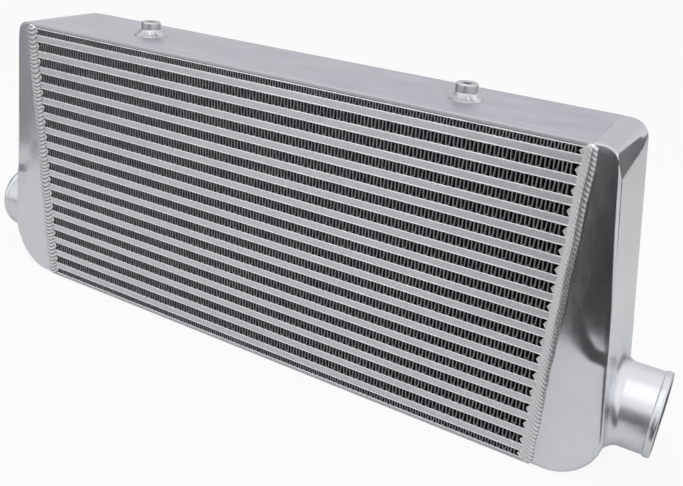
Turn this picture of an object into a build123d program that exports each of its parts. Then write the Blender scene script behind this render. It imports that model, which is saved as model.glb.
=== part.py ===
"""Front-mount intercooler: a brazed bar-and-plate core between two cast end tanks.

Frame: millimetres, +X along the core from the left tank to the right tank, +Y from the front face
to the rear face, +Z up. The origin is the middle of the underside, on which the cooler stands.
"""
from build123d import *
import math
import os

# ---- core: the brazed stack ------------------------------------------------------------------
core_length = 609.6          # X, from one tank joint to the other
core_depth = 104.0           # Y, front face to rear face
side_plate_thickness = 4.4   # top and bottom plates of the stack
side_plate_edge_radius = 1.2 # softened long edges of the two plates
sheet_thickness = 0.5        # separator sheet between neighbouring passages
charge_rows = 17             # passages for the hot charge air, closed at front and rear
charge_height = 6.9
air_height = 9.25            # passages for the cooling air, closed at left and right
end_air_height = 6.2         # the lowest and the highest cooling passage are lower
bar_width = 8.3              # solid part of a closing bar, without its nose
bar_nose = 3.0               # V nose of a closing bar, which points into the passage

# ---- folded strips inside the passages ---------------------------------------------------------
air_fin_thickness = 0.4
air_fin_wall_count = 52      # walls drawn in one cooling strip; a real one has about 190
air_fin_recess = 1.0         # strip edge behind the core's front and rear faces
turbulator_thickness = 0.5
turbulator_wall_count = 10   # walls drawn across the depth of one charge passage
turbulator_recess = 3.0      # strip end behind the tank joint
fin_nose_clearance = 0.2     # between a strip and the noses of the bars beside it

# ---- cast end tanks ----------------------------------------------------------------------------
tank_foot_reach = 66.7       # beyond the joint, where the slanted end wall would meet the base
tank_top_reach = 22.2        # beyond the joint, where it would meet the top
tank_foot_radius = 56.0
tank_top_radius = 18.0
tank_edge_radius = 4.0       # rounding between the end wall and the front and rear faces
tank_wall = 5.0
panel_recess = 1.2           # upper front and rear faces lie behind the lower ones
panel_foot = 118.0           # height where the recess begins
panel_ramp = 12.0            # height over which it reaches its depth

# ---- hose neck, cast in one with the tank ------------------------------------------------------
neck_reach = 96.0            # end of the neck beyond the joint
neck_axis_height = 64.0
neck_radius = 38.1           # seat for a 76.2 mm hose
neck_wall = 3.1
neck_root_radius = 9.0
bead_radius = 39.4           # raised bead that keeps the hose on
bead_width = 7.0
bead_bevel = 1.1

# ---- weld beads over the tank joints, front and rear ----------------------------------------------
weld_width = 13.6
weld_height = 2.2
weld_end_gap = 1.0           # bead ends short of the ground top and base

# ---- mounting bosses on the top plate ---------------------------------------------------------------
boss_distance = 360.0        # from the left boss to the right one, centre to centre
boss_radius = 10.0
boss_height = 14.0
boss_chamfer = 0.8
boss_hole_radius = 3.4       # tapping drill of an M8 thread
boss_hole_depth = 12.0
boss_countersink = 1.0
boss_weld_radius = 17.0
boss_weld_height = 4.0

# ---- worked out from the sizes above -----------------------------------------------------------------
air_rows = charge_rows + 1
joint_x = core_length / 2
front_y = -core_depth / 2


def stack_levels():
    """Underside heights of every passage and sheet, from the bottom plate up."""
    air, charge, sheets = [], [], []
    z = side_plate_thickness
    for row in range(air_rows):
        height = end_air_height if row in (0, air_rows - 1) else air_height
        sheets.append(z)
        air.append((z + sheet_thickness, height))
        z += sheet_thickness + height
        sheets.append(z)
        z += sheet_thickness
        if row < charge_rows:
            charge.append(z)
            z += charge_height
    return air, charge, sheets, z + side_plate_thickness


air_levels, charge_levels, sheet_levels, core_height = stack_levels()
tank_taper = math.atan2(tank_foot_reach - tank_top_reach, core_height)
widest_foot_radius = tank_foot_reach * math.tan(math.pi / 4 - tank_taper / 2)
foot_radius = min(tank_foot_radius, widest_foot_radius)


def side_plate(z, outer_side):
    """Flat plate of the stack; the two long edges on its outer side are softened."""
    plate = Pos(0, 0, z) * Box(
        core_length, core_depth, side_plate_thickness, align=(Align.CENTER, Align.CENTER, Align.MIN)
    )
    long_edges = plate.edges().filter_by(Axis.X).group_by(Axis.Z)[outer_side]
    return fillet(long_edges, side_plate_edge_radius)


def separator_sheet(z):
    return Pos(0, 0, z) * Box(
        core_length, core_depth, sheet_thickness, align=(Align.CENTER, Align.CENTER, Align.MIN)
    )


def bar_section(height):
    """Closing bar in section: a flat back at zero and a V nose that points along +x."""
    return make_face(
        Polyline(
            (0, 0),
            (bar_width, 0),
            (bar_width + bar_nose, height / 2),
            (bar_width, height),
            (0, height),
            close=True,
        )
    )


def charge_bars(z):
    """Front and rear bars that close one charge passage over the whole core length."""
    face = Plane((-joint_x, front_y, z), x_dir=(0, 1, 0), z_dir=(1, 0, 0)) * bar_section(charge_height)
    front = extrude(face, amount=core_length)
    return [front, mirror(front, Plane.XZ)]


def end_bar(z, height):
    """Bar that closes one cooling passage at the left tank."""
    face = Plane((-joint_x, core_depth / 2, z), x_dir=(1, 0, 0), z_dir=(0, -1, 0)) * bar_section(height)
    return extrude(face, amount=core_depth)


def folded_strip_section(width, height, thickness, walls):
    """Zigzag strip in section, centred on x, from y = 0 up to its height."""
    pitch = width / walls
    slope = math.atan2(height - thickness, pitch)
    band = thickness / math.cos(slope)
    band = min(band, height / 2)
    lower = []
    upper = []
    for fold in range(walls + 1):
        x = -width / 2 + fold * pitch
        raised = (height - band) * (fold % 2)
        lower.append((x, raised))
        upper.append((x, raised + band))
    return make_face(Polyline(*lower, *reversed(upper), close=True))


def air_fin(z, height):
    """Folded strip of one cooling passage; its walls run from front to rear."""
    width = 2 * (joint_x - bar_width - bar_nose - fin_nose_clearance)
    depth = core_depth - 2 * air_fin_recess
    section = folded_strip_section(width, height, air_fin_thickness, air_fin_wall_count)
    plane = Plane((0, depth / 2, z), x_dir=(1, 0, 0), z_dir=(0, -1, 0))
    return extrude(plane * section, amount=depth)


def turbulator(z):
    """Folded strip of one charge passage; its walls run from tank to tank."""
    width = core_depth - 2 * (bar_width + bar_nose + fin_nose_clearance)
    length = core_length - 2 * turbulator_recess
    section = folded_strip_section(width, charge_height, turbulator_thickness, turbulator_wall_count)
    plane = Plane((-length / 2, 0, z), x_dir=(0, 1, 0), z_dir=(1, 0, 0))
    return extrude(plane * section, amount=length)


def tank_profile(inset):
    """Side view of the tank, set in by a wall: round foot, slanted end wall, round top."""
    wall_shift = inset / math.cos(tank_taper)

    def end_wall_x(z):
        return joint_x + tank_foot_reach - z * math.tan(tank_taper) - wall_shift

    low = inset
    high = core_height - inset
    start = joint_x - inset
    outline = make_face(
        Polyline((start, low), (end_wall_x(low), low), (end_wall_x(high), high), (start, high), close=True)
    )
    foot = outline.vertices().group_by(Axis.Y)[0].sort_by(Axis.X)[-1]
    outline = fillet(foot, foot_radius - inset)
    top = outline.vertices().group_by(Axis.Y)[-1].sort_by(Axis.X)[-1]
    outline = fillet(top, tank_top_radius - inset)
    return Plane.XZ * outline


def panel_cut():
    """Slab taken off the upper rear face beyond the weld; it deepens over a short ramp."""
    rear_y = core_depth / 2
    inner_y = rear_y - panel_recess
    beyond_y = rear_y + panel_recess
    beyond_z = core_height + panel_recess
    section = make_face(
        Polyline(
            (rear_y, panel_foot),
            (inner_y, panel_foot + panel_ramp),
            (inner_y, beyond_z),
            (beyond_y, beyond_z),
            (beyond_y, panel_foot),
            close=True,
        )
    )
    plane = Plane((joint_x + weld_width / 2, 0, 0), x_dir=(0, 1, 0), z_dir=(1, 0, 0))
    return extrude(plane * section, amount=tank_foot_reach)


def along_neck(start_x, end_x, radius):
    """Cylinder on the neck's axis between two places along X."""
    length = end_x - start_x
    plane = Plane((start_x, 0, neck_axis_height), z_dir=(1, 0, 0))
    return plane * Cylinder(radius, length, align=(Align.CENTER, Align.CENTER, Align.MIN))


def meets_neck(edge):
    """True for the edges where the neck's barrel runs into the end wall."""
    neck_end = joint_x + neck_reach
    for place in (0, 0.5, 1):
        point = edge @ place
        from_axis = math.hypot(point.Y, point.Z - neck_axis_height)
        if abs(from_axis - neck_radius) > 0.01 or point.X > neck_end - bead_width:
            return False
    return True


def right_tank():
    """Cast tank: a tapered shell that is open to the core, with its hose neck and bead."""
    neck_end = joint_x + neck_reach
    body = extrude(tank_profile(0), amount=core_depth / 2, both=True)
    body = fillet(outer_rim(body), tank_edge_radius)
    rear_panel = panel_cut()
    body = body - rear_panel - mirror(rear_panel, Plane.XZ)
    body = body + along_neck(joint_x + tank_wall, neck_end, neck_radius)
    body = fillet(body.edges().filter_by(meets_neck), neck_root_radius)
    bead = along_neck(neck_end - bead_width, neck_end, bead_radius)
    bead = chamfer(bead.edges().filter_by(GeomType.CIRCLE), bead_bevel)
    cavity = extrude(tank_profile(tank_wall), amount=core_depth / 2 - tank_wall, both=True)
    bore = along_neck(joint_x + tank_wall, neck_end, neck_radius - neck_wall)
    return body + bead - cavity - bore


def outer_rim(body):
    """Edges of the tank's two flat faces, without those at the joint."""
    rim = []
    for face in (body.faces().sort_by(Axis.Y)[0], body.faces().sort_by(Axis.Y)[-1]):
        rim += [edge for edge in face.edges() if edge.center().X > joint_x + tank_edge_radius]
    return rim


def weld_bead():
    """Raised seam over the right front joint: a flat arc in section, drawn from base to top."""
    half = weld_width / 2
    seam = ThreePointArc((-half, 0), (0, -weld_height), (half, 0)) + Line((half, 0), (-half, 0))
    plane = Plane((joint_x, front_y, weld_end_gap), x_dir=(1, 0, 0), z_dir=(0, 0, 1))
    return extrude(plane * make_face(seam), amount=core_height - 2 * weld_end_gap)


def boss():
    """Round boss on the top plate with a blind tapped hole."""
    seat = (Align.CENTER, Align.CENTER, Align.MIN)
    body = Cylinder(boss_radius, boss_height, align=seat)
    body = chamfer(body.edges().group_by(Axis.Z)[-1], boss_chamfer)
    hole = Pos(0, 0, boss_height - boss_hole_depth) * Cylinder(boss_hole_radius, boss_hole_depth, align=seat)
    mouth = Pos(0, 0, boss_height - boss_countersink) * Cone(
        boss_hole_radius, boss_hole_radius + boss_countersink, boss_countersink, align=seat
    )
    return Pos(boss_distance / 2, 0, core_height) * (body - hole - mouth)


def boss_weld():
    """Fillet weld round the foot of a boss."""
    section = make_face(
        Polyline((boss_radius, 0), (boss_weld_radius, 0), (boss_radius, boss_weld_height), close=True)
    )
    return Pos(boss_distance / 2, 0, core_height) * revolve(Plane.XZ * section, Axis.Z)


def save(name, solids):
    """Write one piece, or one group of like pieces, to its own file."""
    shape = solids[0] if len(solids) == 1 else Compound(children=list(solids))
    export_step(shape, f"parts/{name}.step")


def save_pair(name, right_piece):
    """Write a right-hand piece and its mirror image on the left."""
    save(f"right_{name}", [right_piece])
    save(f"left_{name}", [mirror(right_piece, Plane.YZ)])


os.makedirs("parts", exist_ok=True)

save("bottom_plate", [side_plate(0, 0)])
save("top_plate", [side_plate(core_height - side_plate_thickness, -1)])
save("separator_sheets", [separator_sheet(z) for z in sheet_levels])
for row, (z, height) in enumerate(air_levels, start=1):
    save(f"air_fin_{row:02d}", [air_fin(z, height)])
for row, z in enumerate(charge_levels, start=1):
    save(f"charge_bars_{row:02d}", charge_bars(z))
save("turbulators", [turbulator(z) for z in charge_levels])

left_end_bars = [end_bar(z, height) for z, height in air_levels]
save("left_end_bars", left_end_bars)
save("right_end_bars", [mirror(bar, Plane.YZ) for bar in left_end_bars])

save_pair("tank", right_tank())
front_weld = weld_bead()
save_pair("front_weld", front_weld)
save_pair("rear_weld", mirror(front_weld, Plane.XZ))
save_pair("boss", boss())
save_pair("boss_weld", boss_weld())
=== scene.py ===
# %% [markdown]
# # A front-mount intercooler
# Hot air from the turbocharger enters one cast end tank through its round neck, runs through 17
# flat passages of the core and leaves by the other tank. Between those passages 18 rows of folded
# aluminium strip let the wind through. The solids of the frame are the engineering shape. Here
# the pieces that catch the eye are rebuilt as fine surfaces in the same frame and get their metal.

# %% Tools, frame and units
import math

import bmesh
import bpy
import numpy as np
from mathutils import Euler, Matrix, Vector


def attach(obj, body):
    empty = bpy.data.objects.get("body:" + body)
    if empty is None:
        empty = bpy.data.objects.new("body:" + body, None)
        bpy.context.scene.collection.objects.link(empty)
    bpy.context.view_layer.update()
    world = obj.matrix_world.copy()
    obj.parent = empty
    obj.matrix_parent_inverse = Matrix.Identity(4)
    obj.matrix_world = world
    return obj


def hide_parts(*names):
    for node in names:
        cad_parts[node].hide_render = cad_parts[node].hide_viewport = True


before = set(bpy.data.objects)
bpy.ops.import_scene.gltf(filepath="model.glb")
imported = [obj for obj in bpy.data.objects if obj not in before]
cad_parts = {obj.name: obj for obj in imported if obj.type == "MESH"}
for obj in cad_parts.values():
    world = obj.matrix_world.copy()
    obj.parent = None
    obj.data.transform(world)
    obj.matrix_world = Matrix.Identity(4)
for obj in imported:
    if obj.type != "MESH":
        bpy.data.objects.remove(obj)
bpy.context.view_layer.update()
MM = 0.001
print("frame nodes:", len(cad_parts))

# %% [markdown]
# ## Sizes
# Every surface below is worked out from the few sizes that the maker of such a cooler would
# choose: the core, the heights of its rows, the outline of the tank and its neck. Most are the
# sizes of the solids, so that a fine surface lies on its solid. The rows, the end bars and the
# round foot of the tanks are set closer to the real ones, a few millimetres off at most.

# %% Sizes of the core and the tanks, in millimetres
joint_x = 304.8               # plane where the tanks meet the core
half_depth = 52.0
core_height = 304.5
plate_thickness = 4.4
sheet_thickness = 0.5
charge_rows = 17
charge_height, air_height, end_air_height = 6.3, 9.85, 6.5
bar_width, bar_nose = 6.0, 3.4
foot_reach, top_reach = 66.7, 22.2
foot_radius, top_radius = 46.0, 18.0
tank_wall = 5.0
panel_depth, panel_foot, panel_ramp = 1.2, 121.0, 16.0
neck_height, neck_radius, bore_radius = 64.0, 38.1, 35.0
weld_half_width, weld_rise = 6.8, 2.2
boss_x = 180.0
side_signs = {"left": -1, "right": 1}


def stack_levels():
    """Underside and height of every passage and sheet, counted from the bottom plate up."""
    air, charge, sheets, z = [], [], [], plate_thickness
    for row in range(charge_rows + 1):
        height = end_air_height if row in (0, charge_rows) else air_height
        sheets += [z, z + sheet_thickness + height]
        air.append((z + sheet_thickness, height))
        z += 2 * sheet_thickness + height
        if row < charge_rows:
            charge.append(z)
            z += charge_height
    return air, charge, sheets


air_levels, charge_levels, sheet_levels = stack_levels()
print("rows:", len(air_levels), "cooling,", len(charge_levels), "charge;", len(sheet_levels), "sheets")

# %% [markdown]
# ## From arrays to meshes
# A surface is an array of points, row by row, and its quads join each point to its neighbours.
# Whole arrays go into the mesh at once. Where patches meet, their edge points are the same
# numbers, so merging points closer than a few micrometres closes the seam. Only then are the
# faces turned outwards.

# %% Grids, sweeps and pieces
def grid_quads(rows, columns, wrap=False):
    """Quads of a grid: point (i, j) joined to (i, j+1), (i+1, j+1) and (i+1, j). wrap joins the
    last column to the first."""
    i, j = np.meshgrid(np.arange(rows - 1), np.arange(columns if wrap else columns - 1), indexing="ij")
    here, beside = i * columns + j, i * columns + (j + 1) % columns
    return np.stack([here, beside, beside + columns, here + columns], -1).reshape(-1, 4)


def join_patches(patches):
    """One array of points and one of quads from many (points, quads) patches."""
    starts = np.cumsum([0] + [len(points) for points, _ in patches[:-1]])
    points = np.concatenate([points for points, _ in patches])
    quads = np.concatenate([quads + start for (_, quads), start in zip(patches, starts)])
    return points, quads


def sheet_patch(x, y, z):
    """Patch over three equal arrays of rows and columns."""
    points = np.stack(np.broadcast_arrays(x, y, z), -1)
    return points.reshape(-1, 3), grid_quads(*points.shape[:2])


def swept_bar(points):
    """Closed bar from an array (stations, profile points, 3): sides, and end caps that join the
    first half of the profile to the second half, point by point."""
    stations, count, _ = points.shape
    half = np.arange(count // 2 - 1)
    cap = np.stack([half, half + 1, count - 2 - half, count - 1 - half], -1)
    quads = [grid_quads(stations, count, wrap=True), cap[:, ::-1], cap + (stations - 1) * count]
    return points.reshape(-1, 3), np.concatenate(quads)


def on_side(patch, sign):
    """The patch itself for the right side, or its mirror image for the left, where sign is -1."""
    points, quads = patch
    return points * np.array([sign, 1, 1]), quads


made = {}
seam_gap, shortest_edge = 0.003, 0.001


def make_piece(name, patch, slot, replaced, merge=False, sharp=35.0, painted=None):
    """Object from points in mm and quads. It rides on the only body and stands for CAD nodes.
    painted is an attribute for its material: a name and one number for each point."""
    points, quads = patch
    mesh = bpy.data.meshes.new(name)
    mesh.vertices.add(len(points))
    mesh.vertices.foreach_set("co", (points * MM).astype(np.float32).ravel())
    mesh.loops.add(quads.size)
    mesh.loops.foreach_set("vertex_index", quads.astype(np.int32).ravel())
    mesh.polygons.add(len(quads))
    mesh.polygons.foreach_set("loop_start", np.arange(len(quads), dtype=np.int32) * 4)
    mesh.update(calc_edges=True)
    if painted:
        attribute, values = painted
        layer = mesh.attributes.new(attribute, "FLOAT", "POINT")
        layer.data.foreach_set("value", np.asarray(values, np.float32).ravel())
    bm = bmesh.new()
    bm.from_mesh(mesh)
    if merge:
        bmesh.ops.remove_doubles(bm, verts=bm.verts, dist=seam_gap * MM)
        bmesh.ops.dissolve_degenerate(bm, edges=bm.edges, dist=shortest_edge * MM)
    bmesh.ops.recalc_face_normals(bm, faces=bm.faces)
    open_edges = sum(len(edge.link_faces) != 2 for edge in bm.edges)
    bm.to_mesh(mesh)
    bm.free()
    mesh.shade_smooth()
    mesh.set_sharp_from_angle(angle=math.radians(sharp))
    piece = bpy.data.objects.new(name, mesh)
    bpy.context.collection.objects.link(piece)
    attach(piece, "root")
    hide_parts(*replaced)
    made[name] = piece, slot
    print(f"{name}: {len(mesh.polygons)} faces, {open_edges} open edges")


def smooth_step(value, low, high):
    """0 below low, 1 above high, and 3t^2 - 2t^3 between them."""
    t = np.clip((value - low) / (high - low), 0, 1)
    return t * t * (3 - 2 * t)


def wander(places, spacing, rng):
    """Smooth seeded noise along a line: random knots every `spacing`, joined by half cosines."""
    knots = rng.uniform(-1, 1, int(np.ptp(places) / spacing) + 3)
    at = (places - places.min()) / spacing
    low = at.astype(int)
    blend = (1 - np.cos(np.pi * (at - low))) / 2
    return knots[low] * (1 - blend) + knots[low + 1] * blend


# %% [markdown]
# ## Cooling strips
# Each cooling row holds one strip of thin aluminium folded into tall narrow loops, about 170
# walls in a full row and 210 in the two low ones. From the front one sees the edges of the walls
# and, between them, a dark passage. Modelling each wall as a box would lose the round crests that
# are brazed to the sheets, so the strip is one folded ribbon. Its middle line rises and falls as
# a sine pressed flat by a hyperbolic tangent, which gives steep walls and short flat crests. A
# seeded wander makes the folds uneven as a folding machine does.

# %% Folded strips
nose_gap, fin_thickness, fin_recess = 0.2, 0.95, 0.7
fin_half_length = joint_x - bar_width - bar_nose - nose_gap
fin_front = half_depth - fin_recess
full_wall_spacing, low_wall_spacing = 3.5, 2.8
tight_press, loose_press = 9.0, 4.0
fold_samples = np.radians([-90, -52, -33, -19, -7, 7, 19, 33, 52])   # about each wall's middle
least_step = 1e-5
loose_from, loose_spacing = (250, 300), 55.0
fold_wander, slow_wander, slow_spacing = 0.22, 0.5, 40.0


def fold_line(height, wall_spacing, rng):
    """x = spacing * s + wander, z = half * tanh(k sin(pi s)) / tanh(k), s counted in walls. The
    press k is tight_press. Near the right end it falls here and there towards loose_press."""
    walls = int(2 * fin_half_length / wall_spacing)
    phase = (np.arange(walls)[:, None] * np.pi + fold_samples[None, :]).ravel()
    x = (phase / np.pi - (walls - 1) / 2) * wall_spacing
    loose = np.clip(0.5 + 0.5 * wander(x, loose_spacing, rng), 0, 1) ** 2
    loose = loose * smooth_step(x, *loose_from)
    press = tight_press - (tight_press - loose_press) * loose
    x = x + fold_wander * wander(x, wall_spacing, rng) + slow_wander * wander(x, slow_spacing, rng)
    x = np.clip(x, -fin_half_length, fin_half_length)
    x = np.maximum.accumulate(x + np.arange(len(x)) * least_step)
    return x, (height - fin_thickness) / 2 * np.tanh(press * np.sin(phase)) / np.tanh(press)


def folded_strip(floor_z, height, wall_spacing, seed):
    """The ribbon's two faces lie half a thickness off the fold line, along the line's normal, and
    run straight from the front of the core to its rear."""
    x, z = fold_line(height, wall_spacing, np.random.default_rng(seed))
    dx, dz = np.gradient(x), np.gradient(z)
    size = np.hypot(dx, dz)
    off_x, off_z = -dz / size * fin_thickness / 2, dx / size * fin_thickness / 2
    middle_z = floor_z + height / 2 + z
    loop = [np.stack([x + face * off_x, np.full_like(x, end * fin_front), middle_z + face * off_z], -1)
            for face, end in ((1, -1), (1, 1), (-1, 1), (-1, -1))]
    return swept_bar(np.stack(loop, 1))


for row, (level, height) in enumerate(air_levels, start=1):
    spacing = full_wall_spacing if height > end_air_height else low_wall_spacing
    strip = folded_strip(level, height, spacing, seed=40 + row)
    make_piece(f"cooling_strip_{row:02d}", strip, "fin_dark", [f"air_fin_{row:02d}"])

# %% [markdown]
# ## Closing bars and sheet edges
# Extruded bars close every charge passage at the front and at the rear, and a thin sheet lies on
# each side of them. In the furnace the braze creeps over the sheet's edge and leaves a bright
# rounded line along the bar. The bars are a rounded profile carried along X; each sheet gets a
# small bulb on its two long edges, and both waver by a few hundredths of a millimetre.

# %% Bars and sheets
stations_x = np.linspace(-joint_x, joint_x, 81)
bar_edge, bar_crown = 0.55, 0.05
blunt = 0.03                  # half height left where a profile ends in an edge
bulb_half_height, bulb_proud, bulb_back, bulb_length = 0.50, 0.4, 0.1, 1.4
bar_wander, bulb_wander = (0.06, 30.0), (0.22, 9.0)     # amount and spacing along X


def long_bar(y, z, middle, waver, swell):
    """Bar along X whose upper half profile is (y, z) from its middle height, and whose lower half
    is that turned over. y shifts by waver and z grows by swell at every station."""
    loop_y, loop_z = np.append(y, y[::-1]), np.append(z, -z[::-1])
    points_y = loop_y[None, :] + waver[:, None]
    points_z = middle + loop_z[None, :] * swell[:, None]
    x = np.broadcast_to(stations_x[:, None], points_y.shape)
    return swept_bar(np.stack([x, points_y, points_z], -1))


def closing_bar(level, face, rng):
    """Slightly crowned front with rounded corners, and a nose that points into the passage. face
    is -1 for the front of the core and 1 for its rear."""
    angle = np.radians([90, 60, 30, 0])
    corner_y = bar_edge * (1 - np.sin(angle))
    corner_z = charge_height / 2 - bar_edge * (1 - np.cos(angle))
    y = np.concatenate([[-bar_crown, 0.0], corner_y, [bar_width, bar_width + bar_nose]])
    z = np.concatenate([[0.4, 1.8], corner_z, [charge_height / 2, blunt]])
    amount, spacing = bar_wander
    waver = amount * wander(stations_x, spacing, rng)
    level_middle = level + charge_height / 2
    return long_bar(face * (half_depth - y), z, level_middle, waver, np.ones_like(waver))


def sheet_with_bulbs(level, rng):
    """Thin sheet whose front and rear edges swell to a half round of braze."""
    angle = np.radians([12, 40, 70, 110, 150])
    bulb_y = half_depth - bulb_back + bulb_proud * np.cos(angle)
    y = np.append(bulb_y, half_depth - bulb_length)
    z = np.append(bulb_half_height * np.sin(angle), sheet_thickness / 2)
    y, z = np.append(y, -y[::-1]), np.append(z, z[::-1])
    amount, spacing = bulb_wander
    swell = 1 + amount * wander(stations_x, spacing, rng)
    return long_bar(y, z, level + sheet_thickness / 2, 0 * swell, swell)


for row, level in enumerate(charge_levels, start=1):
    rng = np.random.default_rng(100 + row)
    pair = [closing_bar(level, face, rng) for face in (-1, 1)]
    make_piece(f"closing_bars_{row:02d}", join_patches(pair), "bar_satin", [f"charge_bars_{row:02d}"])

# %% Side plates: upper half of the profile (y, z) from the front edge to the middle
half_plate = plate_thickness / 2
plate_profile = np.array([(52.0, blunt), (52.0, 0.5), (51.95, 0.9), (51.8, 1.3), (51.5, 1.68),
                          (51.1, 1.95), (50.6, 2.12), (50.0, half_plate), (30.0, half_plate),
                          (10.0, half_plate)])
plate_y = np.append(-plate_profile[:, 0], plate_profile[::-1, 0])
plate_z = np.append(plate_profile[:, 1], plate_profile[::-1, 1])
still = np.zeros_like(stations_x)
for name, middle in (("bottom", half_plate), ("top", core_height - half_plate)):
    plate = long_bar(plate_y, plate_z, middle, still, still + 1)
    make_piece(f"{name}_side_plate", plate, "plate_satin", [f"{name}_plate"])


# %% End bars with their noses
def end_bar(level, height):
    """Bar across the depth that closes one end of a cooling passage: (x, z) profile with a nose,
    carried along y, a little smaller at its two faces so that their edges are rounded."""
    y = half_depth - np.array([0.0, 0.12, 0.45])
    smaller = np.array([0.45, 0.13, 0.0])
    y, smaller = np.append(-y, y[::-1])[:, None], np.append(smaller, smaller[::-1])[:, None]
    x = np.array([0.0, bar_width, bar_width + bar_nose])
    z = np.array([height / 2, height / 2, blunt])
    x, z = np.append(x, x[::-1]), np.append(z, -z[::-1])
    points_x = joint_x - x + smaller * (x > 0)
    points_z = level + height / 2 + z - np.sign(z) * smaller * (abs(z) > 1)
    return swept_bar(np.stack([points_x, y + 0 * points_x, points_z], -1))


end_bars = join_patches([end_bar(level, height) for level, height in air_levels])
for side, sign in side_signs.items():
    make_piece(f"{side}_end_noses", on_side(end_bars, sign), "bar_satin", [f"{side}_end_bars"])

# %% Braze along the noses and over the sheets
bead_radius, bead_sunk = 0.42, 0.15


def nose_bead(level, height, face):
    """Thin bead of braze along a nose's V on one face: rings of radius bead_radius carried from
    the passage's bottom corner over the tip to its top corner."""
    share = np.linspace(-1, 1, 9)
    across = joint_x - bar_width - bar_nose * (1 - abs(share)) ** 0.9
    up = level + height / 2 * (1 + 0.98 * share)
    turn = np.linspace(0, 2 * np.pi, 7)[:-1]
    way_x, way_z = np.gradient(across), np.gradient(up)
    length = np.hypot(way_x, way_z)[:, None]
    out_x, out_z = way_z[:, None] / length * np.cos(turn), -way_x[:, None] / length * np.cos(turn)
    y = face * (half_depth - bead_sunk) + bead_radius * np.sin(turn) + 0 * out_x
    points = [across[:, None] + bead_radius * out_x, y, up[:, None] + bead_radius * out_z]
    return swept_bar(np.stack(points, -1))


nose_beads = join_patches([nose_bead(level, height, face)
                           for level, height in air_levels for face in (-1, 1)])
for side, sign in side_signs.items():
    make_piece(f"{side}_nose_beads", on_side(nose_beads, sign), "sheet_edge", [])
sheet_rng = np.random.default_rng(7)
sheets = [sheet_with_bulbs(level, sheet_rng) for level in sheet_levels]
make_piece("sheet_edges", join_patches(sheets), "sheet_edge", ["separator_sheets"])

# %% [markdown]
# ## Cast end tanks
# A tank is a tapered box with a round foot, cast in aluminium about 5 mm thick, ground and
# polished by hand. Its neck grows out of the slanted end wall with a soft root, and ends in a
# raised bead that keeps the hose on. Boxes joined by booleans would leave hard creases and thin
# faces in the polish, so the skin is one closed surface of grids that share their edge points:
# the front and rear faces with their rounded rims, the end wall, and a wheel of rings round the
# neck. The same formulas with other sizes give the inside, and a rim at the joint joins the two.

# %% Outline of the tank from the side
taper = math.atan2(foot_reach - top_reach, core_height)
outer_rim, inner_rim, foot_rim_extra, top_rim_extra = 3.4, 2.0, 3.6, -1.2
ring_low, ring_high, ring_rows = 5.0, 126.0, 57     # heights and rows of the wheel round the neck
dent_place, dent_size, dent_depth = (334.0, 141.5), (5.5, 5.0), 0.07


def arc_centre_x(height, radius):
    """X of a circle that touches the slanted end wall from inside at this height."""
    return joint_x + foot_reach - math.tan(taper) * height - radius / math.cos(taper)


def wall_x(z, inset):
    """X of the end wall: the foot's arc up to where it meets the slanted line, then that line."""
    radius = foot_radius - inset
    centre = arc_centre_x(foot_radius, foot_radius)
    arc = centre + np.sqrt(np.maximum(radius**2 - (z - foot_radius) ** 2, 0))
    line = joint_x + foot_reach - math.tan(taper) * z - inset / math.cos(taper)
    return np.where(z < foot_radius + radius * math.sin(taper), arc, line)


def outline(inset):
    """Points (x, z) and outward normals from the foot of the joint round the end wall to its top.
    Also gives the first and the last row of the wheel round the neck."""
    foot, top = foot_radius - inset, top_radius - inset
    low = np.linspace(-90, math.degrees(math.asin((ring_low - foot_radius) / foot)), 13)[:-1]
    ring_z = np.linspace(ring_low, ring_high, ring_rows)
    ring_angle = np.arcsin(np.clip((ring_z - foot_radius) / foot, -1, math.sin(taper)))
    top_middle = core_height - top_radius
    wall_z = np.linspace(ring_high, top_middle + top * math.sin(taper), 121)[1:-1]
    high = np.linspace(math.degrees(taper), 90, 25)
    foot_x, top_x = arc_centre_x(foot_radius, foot_radius), arc_centre_x(top_middle, top_radius)
    low, high = np.radians(low), np.radians(high)
    x = np.concatenate([[joint_x], foot_x + foot * np.cos(low), wall_x(ring_z, inset),
                        wall_x(wall_z, inset), top_x + top * np.cos(high), [joint_x]])
    z = np.concatenate([[inset], foot_radius + foot * np.sin(low), ring_z, wall_z,
                        top_middle + top * np.sin(high), [core_height - inset]])
    angle = np.concatenate([[-math.pi / 2], low, ring_angle, np.full(len(wall_z), taper), high,
                            [math.pi / 2]])
    first = 1 + len(low)
    return x, z, np.cos(angle), np.sin(angle), first, first + ring_rows - 1


def rim_radius(inset, nz):
    """Radius of the rounded rim at each point of the outline: larger round the foot and the top
    of the outside, the same everywhere inside. nz is the upward part of the outline's normal."""
    if inset > 0:
        return np.full_like(nz, inner_rim)
    foot = smooth_step(-nz, -0.14, 0.35) * (1 - 0.35 * smooth_step(-nz, 0.7, 1.0))
    return outer_rim + foot_rim_extra * foot + top_rim_extra * smooth_step(nz, 0.15, 0.6)


def panel(x, z):
    """How far the upper part of the front and rear faces lies back. The step to it is short at
    the rim and runs out softly towards the joint. Above it the polishing left a shallow dent."""
    soft = 1 - smooth_step(x, joint_x + 8, joint_x + 38)
    rise = smooth_step(z, panel_foot + 5 * soft, panel_foot + panel_ramp + 40 * soft)
    dent = np.exp(-((x - dent_place[0]) / dent_size[0]) ** 2 - ((z - dent_place[1]) / dent_size[1]) ** 2)
    return (panel_depth * rise + dent_depth * dent) * smooth_step(x, joint_x + 2.0, joint_x + 5.0)


# %% The skin's patches
face_shares = np.linspace(0, 1, 25) ** 1.15
rim_angles = np.radians(np.linspace(0, 90, 8))
wall_shares = np.linspace(-1, 1, 49)


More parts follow.
